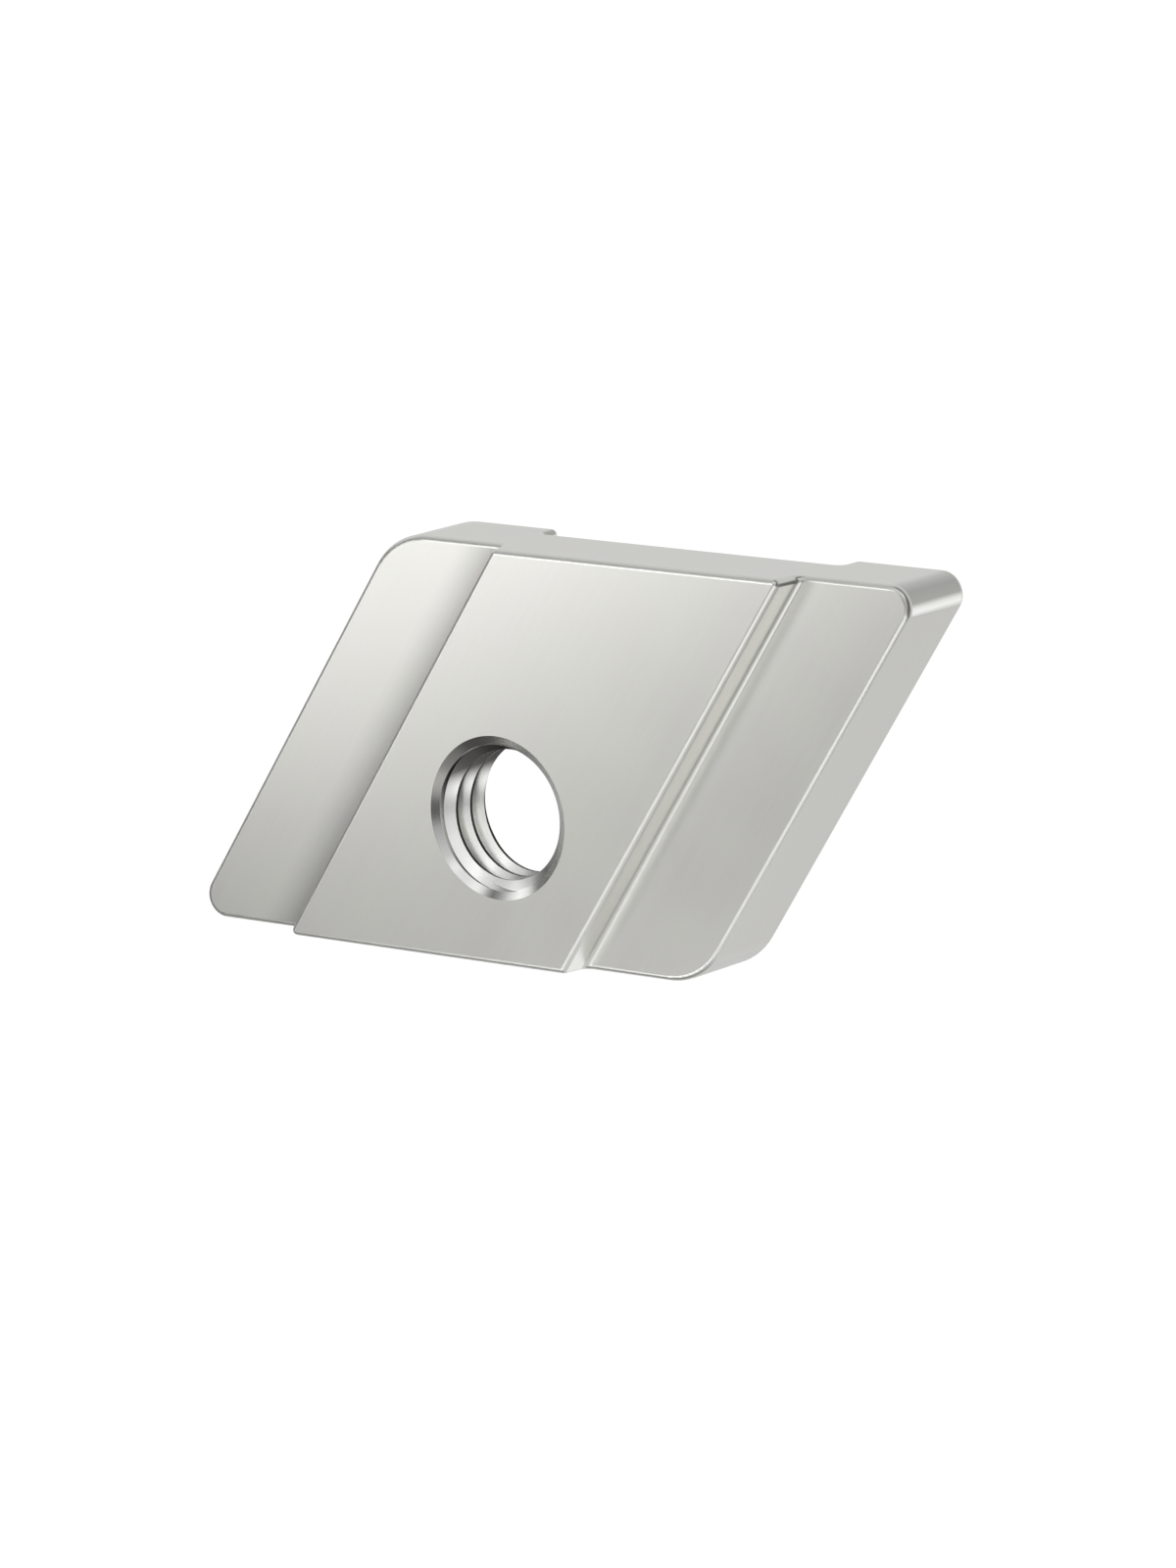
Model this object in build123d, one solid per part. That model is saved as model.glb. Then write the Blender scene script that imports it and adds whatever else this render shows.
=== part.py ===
import os
from math import radians, sin, tan

from build123d import *

# Rail nut: a slice cut obliquely from a stepped steel bar, then drilled and tapped.
# Millimetres. The nut lies on its back and +Z is its front, the side that faces the
# rail's slot. +X runs along the rail and along the steps of the bar. The origin is on
# the thread's axis, in the plane of the two clamping faces beside the land.

# Outline, seen from the front
across_width = 28.8          # across the rail, between the two long sides
cut_width = 22.5             # between the two cut ends, square to them
cut_angle = 57.0             # degrees from the rail to the cut ends
blunt_corner_radius = 4.0    # the two wide corners
sharp_corner_radius = 1.2    # the two narrow corners

# Section across the rail
band_thickness = 5.1         # from the back to the clamping faces
land_width = 15.55           # at its front face
land_height = 1.6            # above the clamping faces
land_wall_spread = 0.2       # how much further out each land wall stands at its foot
recess_width = 16.1          # of the shallow channel along the back
recess_depth = 1.5
foot_radius = 0.3            # fills the inner corners of the land and the recess
edge_radius = 0.3            # rounds every outer edge

# Tapped hole
thread_size = 8.0            # outer diameter of the metric thread
thread_pitch = 1.25
crest_relief = 0.25          # the hole is drilled this much wider than size less pitch
front_margin = 0.42          # how far the front countersink reaches past the thread
front_angle = 105.0          # between opposite sides of the front countersink
back_margin = 1.14           # the back one is wider and deeper, to lead a bolt in
back_angle = 90.0
hole_shift = 3.85            # along the rail, from the nut's middle to the hole

bore_radius = (thread_size - thread_pitch + crest_relief) / 2
front_radius = thread_size / 2 + front_margin
front_depth = (front_radius - bore_radius) / tan(radians(front_angle / 2))
back_radius = thread_size / 2 + back_margin
back_depth = (back_radius - bore_radius) / tan(radians(back_angle / 2))

smooth_join = 5.0            # degrees; faces that turn less than this meet smoothly

back_z = -band_thickness
recess_z = back_z + recess_depth
front_z = land_height

# The cut ends run across the rail at a slant, so each corner lies this far along it.
half_across = across_width / 2
half_length = cut_width / sin(radians(cut_angle)) / 2
corner_lean = half_across / tan(radians(cut_angle))
half_reach = half_length + corner_lean


def stepped_bar():
    """The bar that the nut is cut from: a land in front, a recess along the back."""
    half_land = land_width / 2
    half_foot = half_land + land_wall_spread
    half_recess = recess_width / 2
    # From the recess round to the front of the land, with the radius of each corner.
    # The outer corners are sharp here and are rounded once the nut is cut.
    one_half = [
        (half_recess, recess_z, foot_radius),
        (half_recess, back_z, 0),
        (half_across, back_z, 0),
        (half_across, 0, 0),
        (half_foot, 0, foot_radius),
        (half_land, front_z, 0),
    ]
    other_half = [(-y, z, radius) for y, z, radius in reversed(one_half)]
    section = one_half + other_half
    with BuildPart() as bar:
        with BuildSketch(Plane((hole_shift, 0, 0), x_dir=(0, 1, 0), z_dir=(1, 0, 0))):
            with BuildLine():
                FilletPolyline(
                    *[(y, z) for y, z, radius in section],
                    radius=[radius for y, z, radius in section],
                    close=True,
                )
            make_face()
        extrude(amount=half_reach, both=True)
    return bar.part


def cut_block():
    """The parallelogram that is left between the two cuts, as tall as the bar."""
    wide = (half_length - corner_lean, half_across)
    narrow = (half_reach, -half_across)
    corners = [wide, (-narrow[0], -narrow[1]), (-wide[0], -wide[1]), narrow]
    with BuildPart() as block:
        with BuildSketch(Plane((hole_shift, 0, back_z))):
            with BuildLine():
                FilletPolyline(
                    *corners,
                    radius=[blunt_corner_radius, sharp_corner_radius] * 2,
                    close=True,
                )
            make_face()
        extrude(amount=front_z - back_z)
    return block.part


def outer_edges(blank):
    """The edges where two faces meet at an angle; smooth joins are left out."""
    found = ShapeList()
    for edge in blank.edges():
        middle = edge @ 0.5
        first, second = [face for face in blank.faces() if edge in face.edges()]
        if first.normal_at(middle).get_angle(second.normal_at(middle)) > smooth_join:
            found.append(edge)
    return found


def tapped_hole():
    """The drilled hole with a countersink at each mouth, as one turned cutter."""
    profile = [
        (0, recess_z),
        (back_radius, recess_z),
        (bore_radius, recess_z + back_depth),
        (bore_radius, front_z - front_depth),
        (front_radius, front_z),
        (0, front_z),
    ]
    with BuildPart() as cutter:
        with BuildSketch(Plane.XZ):
            with BuildLine():
                Polyline(*profile, close=True)
            make_face()
        revolve(axis=Axis.Z)
    return cutter.part


blank = (stepped_bar() & cut_block()).solid()
rounded = blank.fillet(edge_radius, outer_edges(blank))
rail_nut = (rounded - tapped_hole()).solid()
rail_nut.label = "rail_nut"

os.makedirs("parts", exist_ok=True)
export_step(rail_nut, "parts/rail_nut.step")
print("bore radius", bore_radius, "from z", recess_z + back_depth, "to", front_z - front_depth)
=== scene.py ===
import math

import bmesh
import bpy
from mathutils import Matrix, Vector
from mathutils.kdtree import KDTree


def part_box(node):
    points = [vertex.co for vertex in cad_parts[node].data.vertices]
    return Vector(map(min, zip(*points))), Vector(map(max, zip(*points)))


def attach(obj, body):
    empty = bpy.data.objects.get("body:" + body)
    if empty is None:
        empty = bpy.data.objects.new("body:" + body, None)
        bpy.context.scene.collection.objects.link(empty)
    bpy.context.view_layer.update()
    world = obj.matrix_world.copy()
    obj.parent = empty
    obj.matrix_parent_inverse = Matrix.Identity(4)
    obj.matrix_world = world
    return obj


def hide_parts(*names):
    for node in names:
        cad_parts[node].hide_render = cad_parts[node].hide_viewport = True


# A rail nut of satin nickel-plated steel, lying on its back: a slice cut obliquely from a
# stepped bar, with a tapped and countersunk hole. Sizes are in millimetres and are turned
# to metres where they are used. The thread's axis is the Z axis and the bar runs along X.

mm = 0.001

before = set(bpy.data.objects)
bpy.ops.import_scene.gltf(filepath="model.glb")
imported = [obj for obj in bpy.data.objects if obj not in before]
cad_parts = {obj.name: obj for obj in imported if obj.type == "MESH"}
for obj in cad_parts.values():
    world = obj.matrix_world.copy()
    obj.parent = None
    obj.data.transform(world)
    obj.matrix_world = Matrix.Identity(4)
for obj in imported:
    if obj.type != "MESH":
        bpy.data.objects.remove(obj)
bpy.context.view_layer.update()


# Small helpers


# sRGB hex to a linear RGBA tuple
def linearColour(hexCode):
    channels = [int(hexCode[place:place + 2], 16) / 255 for place in (1, 3, 5)]
    linear = [c / 12.92 if c <= 0.04045 else ((c + 0.055) / 1.055) ** 2.4 for c in channels]
    return (*linear, 1.0)


# settings are the node's own properties or socket values, links are outputs by input socket
def addNode(tree, kind, settings=None, links=None):
    node = tree.nodes.new(kind)
    for name, value in (settings or {}).items():
        if isinstance(name, str) and hasattr(node, name):
            setattr(node, name, value)
        else:
            node.inputs[name].default_value = value
    for name, output in (links or {}).items():
        tree.links.new(output, node.inputs[name])
    return node


def newObject(name, bm):
    mesh = bpy.data.meshes.new(name)
    bm.to_mesh(mesh)
    bm.free()
    made = bpy.data.objects.new(name, mesh)
    bpy.context.scene.collection.objects.link(made)
    return made


# The nut, with its thread cut

nutShape = {
    "cutAngle": 57.0,           # between the bar's length and its cut ends
    "landFoot": 7.975,          # from the middle to the foot of each land wall
    "frontHeight": 1.6,
    "mouthRadius": 4.42,
    "coneLean": 37.5,           # how far the front countersink leans from level
    "coneClear": 0.015,         # it is cut this much wider again, clear of the solid's facets
    "backConeLean": 45.0,
    "tinyStep": 0.0002,         # corners nearer than this are one
    "tinyTurn": 0.2,            # degrees; faces that turn less than this are one
}

thread = {
    "rootRadius": 4.05,         # a little clear of an 8 mm bolt
    "crestRadius": 3.5,         # the drilled bore that the thread is cut into
    "pitch": 1.25,
    "flankAngle": 30.0,         # of each flank, from square to the axis
    "rootFlat": 0.415,          # wide enough to leave the crests as narrow as the photo shows them
    "cutterInside": 3.3,        # the cutter reaches this far into the open bore
    "crestHeight": -1.88,       # of one crest line, where crestAzimuth is
    "crestAzimuth": 150.0,      # degrees round the hole from +X
    "stepsPerTurn": 72,
    "leadHeight": 0.82,         # down to here the tap's lead bevels the first crest
    "leadLean": 42.0,           # how far that bevel leans from level
    "mouthOver": 0.3,           # the mouth's cutter reaches this far past both of its ends
}


# The groove of the thread as a closed right-handed coil, a little longer than the hole
def threadCutter(lowest, highest):
    pitch = thread["pitch"]
    grooveHeight = thread["crestHeight"] + pitch / 2
    turnsBelow = math.ceil((grooveHeight - lowest) / pitch) + 1
    startHeight = grooveHeight - turnsBelow * pitch
    turns = math.ceil((highest - startHeight) / pitch) + 1
    halfRoot = thread["rootFlat"] / 2
    depth = thread["rootRadius"] - thread["cutterInside"]
    halfMouth = halfRoot + depth * math.tan(math.radians(thread["flankAngle"]))
    outline = [
        (thread["cutterInside"], -halfMouth),
        (thread["rootRadius"], -halfRoot),
        (thread["rootRadius"], halfRoot),
        (thread["cutterInside"], halfMouth),
    ]
    bm = bmesh.new()
    corners = [bm.verts.new((radius * mm, 0, (startHeight + height) * mm)) for radius, height in outline]
    section = bm.faces.new(corners)
    turnToAzimuth = Matrix.Rotation(math.radians(thread["crestAzimuth"]), 3, "Z")
    bmesh.ops.rotate(bm, verts=bm.verts, cent=(0, 0, 0), matrix=turnToAzimuth)
    steps = thread["stepsPerTurn"]
    bmesh.ops.spin(
        bm, geom=[section, *section.edges, *section.verts], cent=(0, 0, 0), axis=(0, 0, 1),
        dvec=(0, 0, pitch * mm / steps), angle=math.tau * turns, steps=steps * turns,
        use_duplicate=False, use_merge=False,
    )
    bmesh.ops.recalc_face_normals(bm, faces=bm.faces)
    return newObject("thread_cutter", bm)


# The countersink in finer facets, and under it the short bevel that leads into the thread
def mouthCutter():
    coneSlope = 1 / math.tan(math.radians(nutShape["coneLean"]))
    leadSlope = 1 / math.tan(math.radians(thread["leadLean"]))
    front = nutShape["frontHeight"]
    wide = nutShape["mouthRadius"] + nutShape["coneClear"]
    narrow = thread["crestRadius"]
    over = thread["mouthOver"]
    lead = thread["leadHeight"]
    # where the bevel, widening from the crests, meets the countersink
    meeting = (narrow - lead * leadSlope - wide + front * coneSlope) / (coneSlope - leadSlope)
    profile = [
        (0, lead - over),
        (narrow - over * leadSlope, lead - over),
        (narrow + (meeting - lead) * leadSlope, meeting),
        (wide + over * coneSlope, front + over),
        (0, front + over),
    ]
    bm = bmesh.new()
    points = [bm.verts.new((radius * mm, 0, height * mm)) for radius, height in profile]
    lines = [bm.edges.new(pair) for pair in zip(points, points[1:])]
    bmesh.ops.spin(
        bm, geom=[*points, *lines], cent=(0, 0, 0), axis=(0, 0, 1), dvec=(0, 0, 0),
        angle=math.tau, steps=2 * thread["stepsPerTurn"], use_duplicate=False, use_merge=True,
    )
    bmesh.ops.remove_doubles(bm, verts=bm.verts, dist=nutShape["tinyStep"] * mm)
    bmesh.ops.recalc_face_normals(bm, faces=bm.faces)
    return newObject("mouth_cutter", bm)


# The solid's own surface, its flat faces whole again, with the groove cut out of it
def threadedNut():
    bm = bmesh.new()
    bm.from_mesh(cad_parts["rail_nut"].data)
    bmesh.ops.remove_doubles(bm, verts=bm.verts, dist=nutShape["tinyStep"] * mm)
    tinyTurn = math.radians(nutShape["tinyTurn"])
    bmesh.ops.dissolve_limit(bm, angle_limit=tinyTurn, verts=bm.verts, edges=bm.edges)
    nut = newObject("threaded_rail_nut", bm)
    nut.data.attributes.remove(nut.data.attributes["custom_normal"])
    lowest, highest = [corner.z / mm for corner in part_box("rail_nut")]
    for cutter in (mouthCutter(), threadCutter(lowest, highest)):
        cut = nut.modifiers.new("cut", "BOOLEAN")
        cut.operation = "DIFFERENCE"
        cut.solver = "EXACT"
        cut.object = cutter
        evaluated = nut.evaluated_get(bpy.context.evaluated_depsgraph_get())
        nut.data = bpy.data.meshes.new_from_object(evaluated)
        nut.modifiers.remove(cut)
        bpy.data.objects.remove(cutter)
    bm = bmesh.new()
    bm.from_mesh(nut.data)
    bmesh.ops.dissolve_degenerate(bm, dist=nutShape["tinyStep"] * mm, edges=bm.edges)
    bm.to_mesh(nut.data)
    bm.free()
    nut.data.shade_smooth()
    return nut


# How a face's direction and place tell its surface
telling = {
    "straight": 0.999,          # at least this much of its direction is along the one compared
    "wall": 0.98,               # the same for the land's walls, which lean a little
    "upright": 0.02,            # at most this much of its direction is along the axis
    "boreUpright": 0.2,         # the same for the crests and the root
    "holeLevel": 0.9,           # more level than this, a face near the hole isn't the hole's own
    "flankSpread": 0.03,        # how far a flank's direction may be off
    "margin": 0.1,              # millimetres
    "crestMargin": 0.02,
}


# Which surface of the nut a face belongs to
def surfaceOf(centre, normal):
    radius = math.hypot(centre.x, centre.y)
    level = abs(normal.z)
    if radius < nutShape["mouthRadius"] and level < telling["holeLevel"]:
        if level < telling["boreUpright"]:
            return "crest" if radius < thread["crestRadius"] + telling["crestMargin"] else "root"
        if abs(level - math.cos(math.radians(thread["flankAngle"]))) < telling["flankSpread"]:
            return "lowerFlank" if normal.z > 0 else "upperFlank"
        if normal.z < 0:
            return "backCone"
        between = math.radians((nutShape["coneLean"] + thread["leadLean"]) / 2)
        return "cone" if normal.z > math.cos(between) else "lead"
    beyondLand = abs(centre.y) - nutShape["landFoot"]
    if level > telling["straight"]:
        if abs(centre.z) > telling["margin"] or beyondLand < 0:
            return "drawn"
        return "farBesideLand" if centre.y > 0 else "nearBesideLand"
    cutAngle = math.radians(nutShape["cutAngle"])
    if abs(normal.x * math.sin(cutAngle) + normal.y * math.cos(cutAngle)) > telling["straight"]:
        return "sawn"
    if abs(normal.y) > telling["wall"]:
        return "landWall" if centre.z > 0 and beyondLand < telling["margin"] else "drawn"
    return "corner" if level < telling["upright"] else "edge"


# The true direction of a turned surface at a point, from its shape
def turnedNormal(surface, spot):
    radius = math.hypot(spot.x, spot.y)
    outward = Vector((spot.x, spot.y, 0)) / radius
    around = Vector((-outward.y, outward.x, 0))
    if surface in ("crest", "root"):
        return -outward
    if surface in ("cone", "lead"):
        lean = math.radians(nutShape["coneLean"] if surface == "cone" else thread["leadLean"])
        return Vector((0, 0, math.cos(lean))) - outward * math.sin(lean)
    if surface == "backCone":
        lean = math.radians(nutShape["backConeLean"])
        return Vector((0, 0, -math.cos(lean))) - outward * math.sin(lean)
    rise = thread["pitch"] * mm / (math.tau * radius)
    upwards = Vector((0, 0, 1)) - around * rise
    if surface == "upperFlank":
        upwards = -upwards
    return (upwards - outward * math.tan(math.radians(thread["flankAngle"]))).normalized()


# Flat faces shade flat, turned ones by their shape, and the rounded ones as the solid's own
# corners do, found again by place and by the nearest face direction
def smoothTheNut(nut, surfaceNames):
    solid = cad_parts["rail_nut"].data
    corners = [
        (solid.vertices[solid.loops[k].vertex_index].co, face.normal, solid.corner_normals[k].vector)
        for face in solid.polygons for k in face.loop_indices
    ]
    tree = KDTree(len(corners))
    for k, (spot, facing, normal) in enumerate(corners):
        tree.insert(spot, k)
    tree.balance()
    turnedSurfaces = ("crest", "root", "cone", "lead", "backCone", "lowerFlank", "upperFlank")
    normals = [None] * len(nut.data.loops)
    for face, surface in zip(nut.data.polygons, surfaceNames):
        for k in face.loop_indices:
            spot = nut.data.vertices[nut.data.loops[k].vertex_index].co
            if surface in turnedSurfaces:
                normals[k] = turnedNormal(surface, spot)
            elif surface in ("edge", "corner"):
                near = tree.find_range(spot, 2 * nutShape["tinyStep"] * mm)
                here = [corners[index] for _, index, _ in near]
                alike = max(here, key=lambda corner: corner[1].dot(face.normal), default=None)
                normals[k] = alike[2] if alike else face.normal
            else:
                normals[k] = face.normal
    nut.data.normals_split_custom_set([tuple(normal) for normal in normals])


nut = threadedNut()
surfaceNames = [surfaceOf(face.center / mm, face.normal) for face in nut.data.polygons]
smoothTheNut(nut, surfaceNames)
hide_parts("rail_nut")
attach(nut, "root")
print("nut cut and threaded:", {name: surfaceNames.count(name) for name in sorted(set(surfaceNames))})


# The finish: satin nickel plating over steel. It is pale, nearly neutral and softly reflecting. What the
# eye tells apart is how the steel under it was made, so each kind of surface has its own lines, gloss and
# tone. Several looks also carry painted light, painted shade and painted reflections in their colour.

finish = {
    "cloudSize": 6.0,           # of the faint patches that a plating bath leaves
    "cloudShare": 0.5,          # of the mottle, where the marks in the steel are the rest
    "mottleRange": (0.35, 0.65),  # of the noise, from the darkest to the lightest
    "grainSize": 0.13,          # the plating's own grain, drawn far coarser than its real microns
    "grainShare": 0.4,          # of the relief, where the marks are the rest
    "shadeFall": 1.6,           # above 1, a shade gathers towards its full end
}

# How the steel was made, as the size of its marks along x, y and z, or by radius and height
# where ringed, and their relief, all in millimetres
drawnLines = {"lines": (12.0, 0.25, 0.25), "relief": 0.0001}
sawnLines = {"lines": (1.0, 0.26, 6.0), "turnedBy": 33.0, "relief": 0.0001}
turnedRings = {"lines": (0.16, 0.16, 1.0), "ringed": True, "relief": 0.0001}
tumbledMarks = {"lines": (1.0, 1.0, 1.0), "relief": 0.00005}

# Colours run from the darkest to the lightest of the mottle, and roughness likewise. A shade is painted
# light or shade: it changes the colour along a direction round the axis, from where there is none to
# where it is full. Bands are painted reflections, highlights and shade: colours by the direction that the
# surface faces, in degrees round from +X.
looks = {
    # soft and even, with faint lines from the drawing die along the bar
    "satin nickel on drawn steel": {
        "surfaces": ("drawn",),
        "colours": ("#bbbab7", "#bebeb9"),
        "roughness": (0.34, 0.37),
        **drawnLines,
    },
    # the same again, with painted light: lighter towards the land's near foot
    "satin nickel with painted light at the land's near foot": {
        "surfaces": ("nearBesideLand",),
        "colours": ("#bbbab7", "#bebeb9"),
        "roughness": (0.34, 0.37),
        "shade": {"azimuth": -90.0, "none": 9.9, "full": 8.0, "colour": "#cdcdc9"},
        **drawnLines,
    },
    # and with painted shade: darker along its far foot
    "satin nickel at the land's far foot": {
        "surfaces": ("farBesideLand",),
        "colours": ("#bbbab7", "#bebeb9"),
        "roughness": (0.34, 0.37),
        "shade": {"azimuth": 90.0, "none": 10.675, "full": 7.775, "colour": "#737270"},
        **drawnLines,
    },
    # the same, with the upright lines of the saw
    "satin nickel on sawn steel": {
        "surfaces": ("sawn",),
        "colours": ("#bbbab7", "#bebeb9"),
        "roughness": (0.34, 0.37),
        **sawnLines,
    },
    # the same on the rounded corners, with tumbling marks in the relief; the upright dark and bright
    # bands in the colour are painted reflections
    "satin nickel with painted reflections on the corners": {
        "surfaces": ("corner",),
        "roughness": (0.34, 0.37),
        "paintedBands": (
            (-147, "#8e8e8b"), (-128, "#a2a29f"), (-105, "#b6b6b3"), (-90, "#bcbcb9"), (-80, "#c8c8c5"),
            (-67, "#f0f0ed"), (-57, "#e2e2df"), (-45, "#a4a4a1"), (-15, "#9c9c99"), (33, "#bcbcb9"),
        ),
        **tumbledMarks,
    },
    # tumbling rubs the rounded edges; their lighter colour is partly that wear and partly a painted
    # highlight
    "rubbed nickel edge with painted highlight": {
        "surfaces": ("edge",),
        "colours": ("#c1c1bd", "#c5c5c1"),
        "roughness": (0.35, 0.38),
        **tumbledMarks,
    },
    # painted light: the land's walls are coloured much lighter, to read as lit
    "nickel with painted light on the land walls": {
        "surfaces": ("landWall",),
        "colours": ("#e1e1dd", "#e7e7e3"),
        "roughness": (0.3, 0.34),
        **drawnLines,
    },
    # tighter reflections that run round the hole; the bands of colour are painted reflections and painted
    # shade
    "satin nickel countersink": {
        "surfaces": ("cone", "backCone"),
        "roughness": (0.24, 0.28),
        "paintedBands": (
            (-180, "#b4b4b2"), (-150, "#989794"), (-110, "#8b8a87"), (-72, "#7c7b78"), (-62, "#767572"),
            (-50, "#acacaa"), (-20, "#c2c2c0"), (8, "#d4d4d2"), (18, "#cfcfcd"), (26, "#8f8e8b"),
            (34, "#d8d8d6"), (50, "#efefec"), (62, "#e2e2df"), (80, "#bebebc"), (180, "#b4b4b2"),
        ),
        **turnedRings,
    },
    # the tap's lead leaves a narrow bevel; its white bands are painted highlights and its dark ones
    # painted shade
    "lead bevel with painted highlights": {
        "surfaces": ("lead",),
        "roughness": (0.3, 0.34),
        "paintedBands": (
            (-180, "#8b8a87"), (-128, "#8b8a87"), (-118, "#ffffff"), (-100, "#ffffff"), (-92, "#5a5957"),
            (-55, "#7c7b78"), (-30, "#f4f4f1"), (60, "#f4f4f1"), (80, "#9a9996"), (180, "#8b8a87"),
        ),
        **turnedRings,
        "relief": 0.00005,
    },
    # the tapped flanks and root, coloured near white as painted light, with painted shade darkening the
    # hole's upper side
    "bright tapped thread": {
        "surfaces": ("lowerFlank", "upperFlank", "root"),
        "colours": ("#ececea", "#f4f4f1"),
        "roughness": (0.24, 0.28),
        "shade": {"azimuth": 60.0, "none": 0.9, "full": 3.3, "colour": "#51504e"},
        **turnedRings,
    },
    # the crests, that the tap never cuts, painted near black as shade
    "dark thread crest": {
        "surfaces": ("crest",),
        "colours": ("#1c1b19", "#262522"),
        "roughness": (0.45, 0.5),
        **turnedRings,
    },
}


# Painted light or shade: the colour drifts to the shade's own along its direction
def paintedShadingColour(tree, place, colour, shade):
    turn = math.radians(shade["azimuth"])
    along = addNode(tree, "ShaderNodeVectorMath", {
        "operation": "DOT_PRODUCT", 1: (math.cos(turn), math.sin(turn), 0),
    }, {0: place})
    rising = addNode(tree, "ShaderNodeMapRange", {
        "From Min": shade["none"] * mm, "From Max": shade["full"] * mm,
    }, {0: along.outputs["Value"]})
    amount = addNode(
        tree, "ShaderNodeMath", {"operation": "POWER", 1: finish["shadeFall"]}, {0: rising.outputs[0]},
    )
    return addNode(
        tree, "ShaderNodeMix", {"data_type": "RGBA", 7: linearColour(shade["colour"])},
        {0: amount.outputs[0], 6: colour},
    ).outputs[2]


# Painted reflections, highlights and shade by facing direction; the bands run once round the axis, from
# -180 to 180 degrees
def paintedReflectionColour(tree, facing, paintedBands):
    parts = addNode(tree, "ShaderNodeSeparateXYZ", None, {0: facing})
    azimuth = addNode(
        tree, "ShaderNodeMath", {"operation": "ARCTAN2"}, {0: parts.outputs[1], 1: parts.outputs[0]},
    )
    around = addNode(
        tree, "ShaderNodeMapRange", {"From Min": -math.pi, "From Max": math.pi}, {0: azimuth.outputs[0]},
    )
    ramp = addNode(tree, "ShaderNodeValToRGB", None, {0: around.outputs[0]})
    stops = ramp.color_ramp.elements
    while len(stops) < len(paintedBands):
        stops.new(0.5)
    for stop, (degrees, code) in zip(stops, paintedBands):
        stop.position = 0.5 + degrees / 360
        stop.color = linearColour(code)
    return ramp.outputs[0]


def platedSteel(name, look):
    material = bpy.data.materials.new(name)
    material.use_nodes = True
    tree = material.node_tree
    shader = tree.nodes["Principled BSDF"]
    shader.inputs["Metallic"].default_value = 1.0
    coordinates = addNode(tree, "ShaderNodeTexCoord")
    place = coordinates.outputs["Object"]
    marksPlace = place
    if look.get("ringed"):
        xyz = addNode(tree, "ShaderNodeSeparateXYZ", None, {0: place})
        level = addNode(tree, "ShaderNodeVectorMath", {"operation": "MULTIPLY", 1: (1, 1, 0)}, {0: place})
        radius = addNode(tree, "ShaderNodeVectorMath", {"operation": "LENGTH"}, {0: level.outputs[0]})
        turned = addNode(
            tree, "ShaderNodeCombineXYZ", None, {0: radius.outputs["Value"], 1: xyz.outputs[2]},
        )
        marksPlace = turned.outputs[0]
    stretched = addNode(tree, "ShaderNodeMapping", {
        "vector_type": "TEXTURE",
        "Rotation": (0, 0, math.radians(look.get("turnedBy", 0.0))),
        "Scale": [size * mm for size in look["lines"]],
    }, {"Vector": marksPlace})
    marks = addNode(
        tree, "ShaderNodeTexNoise", {"Scale": 1.0, "Detail": 3.0}, {"Vector": stretched.outputs[0]},
    )
    clouds = addNode(tree, "ShaderNodeTexNoise", {
        "Scale": 1 / (finish["cloudSize"] * mm), "Detail": 1.0,
    }, {"Vector": place})
    grain = addNode(tree, "ShaderNodeTexNoise", {
        "Scale": 1 / (finish["grainSize"] * mm), "Detail": 2.0,
    }, {"Vector": place})

    # tone and gloss follow the same mottle of marks and clouds
    mottle = addNode(
        tree, "ShaderNodeMix", {0: finish["cloudShare"]}, {2: marks.outputs[0], 3: clouds.outputs[0]},
    )
    lowest, highest = finish["mottleRange"]
    spread = addNode(
        tree, "ShaderNodeMapRange", {"From Min": lowest, "From Max": highest}, {0: mottle.outputs[0]},
    )
    # painted reflections by facing direction, and painted light or shade along a direction, go into the
    # colour here
    if "paintedBands" in look:
        colour = paintedReflectionColour(tree, coordinates.outputs["Normal"], look["paintedBands"])
    else:
        darker, lighter = [linearColour(code) for code in look["colours"]]
        colour = addNode(
            tree, "ShaderNodeMix", {"data_type": "RGBA", 6: darker, 7: lighter}, {0: spread.outputs[0]},
        ).outputs[2]
    if "shade" in look:
        colour = paintedShadingColour(tree, place, colour, look["shade"])
    tree.links.new(colour, shader.inputs["Base Color"])
    smoother, rougher = look["roughness"]
    roughness = addNode(
        tree, "ShaderNodeMapRange", {"To Min": smoother, "To Max": rougher}, {0: spread.outputs[0]},
    )
    tree.links.new(roughness.outputs[0], shader.inputs["Roughness"])

    heights = addNode(
        tree, "ShaderNodeMix", {0: finish["grainShare"]}, {2: marks.outputs[0], 3: grain.outputs[0]},
    )
    bump = addNode(
        tree, "ShaderNodeBump", {"Distance": look["relief"] * mm}, {"Height": heights.outputs[0]},
    )
    tree.links.new(bump.outputs[0], shader.inputs["Normal"])
    return material


nut.data.materials.clear()
slotOf = {}
for slot, (name, look) in enumerate(looks.items()):
    nut.data.materials.append(platedSteel(name, look))
    slotOf.update({surface: slot for surface in look["surfaces"]})
for face, surface in zip(nut.data.polygons, surfaceNames):
    face.material_index = slotOf[surface]
print("finish made:", len(looks), "looks")


# Floor, light and camera

studio = {
    "floorColour": "#404040",
    "floorGlow": 1.0,          # a light table: lit from below, it stays white without a shadow
    "floorReach": 2000.0,
    "world": "#ffffff",
    "worldStrength": 0.15,
    "aim": (3.85, 0.0, 0.0),
}

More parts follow.
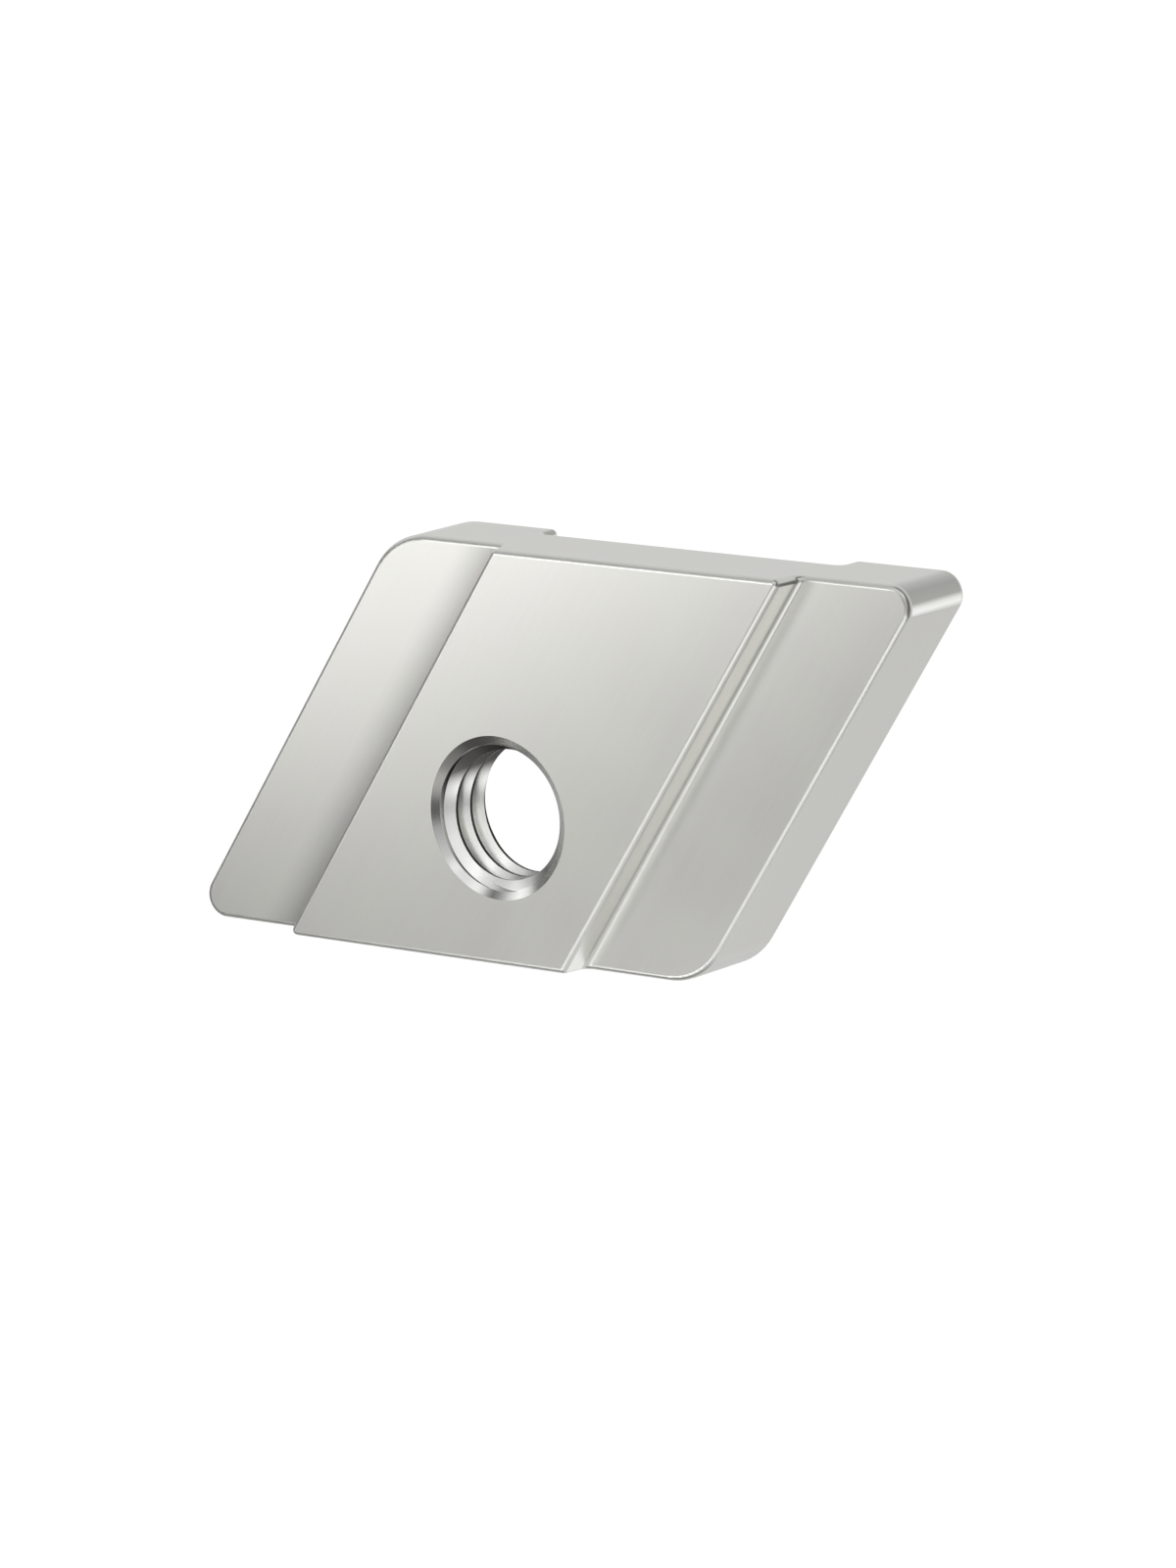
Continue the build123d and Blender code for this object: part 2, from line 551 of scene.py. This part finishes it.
# Soft boxes by azimuth, elevation, distance, width and radiance. The first ones stand where the
# flat faces mirror the camera, and give those faces their gradient.
softBoxes = {
    "left face": (215, 45, 110, 40, 2.35),
    "top face": (195, 60, 110, 40, 3.8),
    "right face": (270, 45, 110, 40, 3.6),
    "near face": (250, 45, 110, 40, 0.45),
    "land wall high": (320, 65, 130, 60, 1.65),
    "land wall": (315, 45, 130, 100, 0.6),
    "land wall near": (340, 42, 130, 60, 1.3),
    "land edges": (330, 9, 150, 70, 1.0),
    "hole middle": (52, 62, 130, 60, 0.85),
    "hole left": (90, 42, 130, 60, 1.55),
    "hole bottom": (130, 42, 130, 60, 1.0),
    "hole bottom high": (120, 65, 130, 60, 0.75),
    "top edges": (155, 42, 130, 60, 0.6),
    "top edges low": (180, 9, 150, 70, 1.1),
    "bottom edges": (150, 9, 150, 70, 0.8),
}

cameraView = {
    "aim": (4.387, -2.950, 0.0),
    "distance": 436.383,
    "azimuth": 52.2006,
    "elevation": 51.6817,
    "roll": 106.6987,           # how far the camera leans over to its right
    "lens": 190.044,
}


# The direction towards an azimuth from -Y and an elevation, both in degrees
def towards(azimuth, elevation):
    around = math.radians(azimuth)
    upwards = math.radians(elevation)
    level = math.cos(upwards)
    return Vector((math.sin(around) * level, -math.cos(around) * level, math.sin(upwards)))


def paleFloor():
    bm = bmesh.new()
    bmesh.ops.create_grid(bm, x_segments=1, y_segments=1, size=studio["floorReach"] * mm)
    bmesh.ops.translate(bm, verts=bm.verts, vec=(0, 0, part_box("rail_nut")[0].z))
    floor = newObject("floor", bm)
    material = bpy.data.materials.new("white light table")
    material.use_nodes = True
    shader = material.node_tree.nodes["Principled BSDF"]
    shader.inputs["Base Color"].default_value = linearColour(studio["floorColour"])
    shader.inputs["Roughness"].default_value = 0.9
    shader.inputs["Specular IOR Level"].default_value = 0.0
    shader.inputs["Emission Color"].default_value = (1, 1, 1, 1)
    shader.inputs["Emission Strength"].default_value = studio["floorGlow"]
    floor.data.materials.append(material)


def placeSoftBox(name, azimuth, elevation, distance, width, radiance):
    light = bpy.data.lights.new(name, "AREA")
    light.shape = "SQUARE"
    light.size = width * mm
    light.energy = math.pi * light.size ** 2 * radiance
    box = bpy.data.objects.new(name, light)
    direction = towards(azimuth, elevation)
    place = Matrix.Translation((Vector(studio["aim"]) + direction * distance) * mm)
    box.matrix_world = place @ (-direction).to_track_quat("-Z", "Y").to_matrix().to_4x4()
    bpy.context.scene.collection.objects.link(box)


def placeCamera():
    back = towards(cameraView["azimuth"], cameraView["elevation"])
    camera = bpy.data.objects.new("camera", bpy.data.cameras.new("camera"))
    camera.data.lens = cameraView["lens"]
    camera.data.clip_start = 0.01
    camera.data.clip_end = 10.0
    upright = (-back).to_track_quat("-Z", "Y").to_matrix()
    turned = upright @ Matrix.Rotation(-math.radians(cameraView["roll"]), 3, "Z")
    spot = Vector(cameraView["aim"]) + back * cameraView["distance"]
    camera.matrix_world = Matrix.Translation(spot * mm) @ turned.to_4x4()
    bpy.context.scene.collection.objects.link(camera)
    bpy.context.scene.camera = camera


paleFloor()
for name, (azimuth, elevation, distance, width, radiance) in softBoxes.items():
    placeSoftBox(name, azimuth, elevation, distance, width, radiance)
world = bpy.data.worlds.new("studio")
world.use_nodes = True
world.node_tree.nodes["Background"].inputs["Color"].default_value = linearColour(studio["world"])
world.node_tree.nodes["Background"].inputs["Strength"].default_value = studio["worldStrength"]
bpy.context.scene.world = world
bpy.context.scene.view_settings.view_transform = "Standard"
placeCamera()
print("floor,", len(softBoxes), "soft boxes and camera placed")
